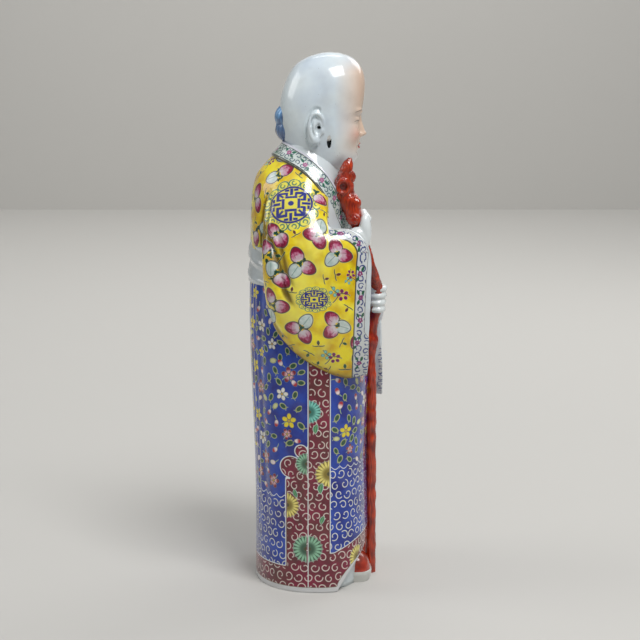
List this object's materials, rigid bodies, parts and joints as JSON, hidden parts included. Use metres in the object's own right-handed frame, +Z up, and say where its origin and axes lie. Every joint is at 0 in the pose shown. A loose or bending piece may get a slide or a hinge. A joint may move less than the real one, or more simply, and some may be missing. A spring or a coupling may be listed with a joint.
{
  "type": "porcelain figurine",
  "caption": "Hollow glazed porcelain figure of a bald old man leaning on a gnarled staff, with smoke vents in ears and cheeks.",
  "frame": {"origin": "centre of the overall box at the level it stands on", "axes": "+Z up; the figure faces -Y, and its right hand is on the -X side"},
  "size_m": [0.1538, 0.1199, 0.4602],
  "materials": {
    "glazed_porcelain": "glossy glaze over painted enamels"
  },
  "bodies": {
    "root": {"figure": "glazed_porcelain"}
  },
  "joints": []
}
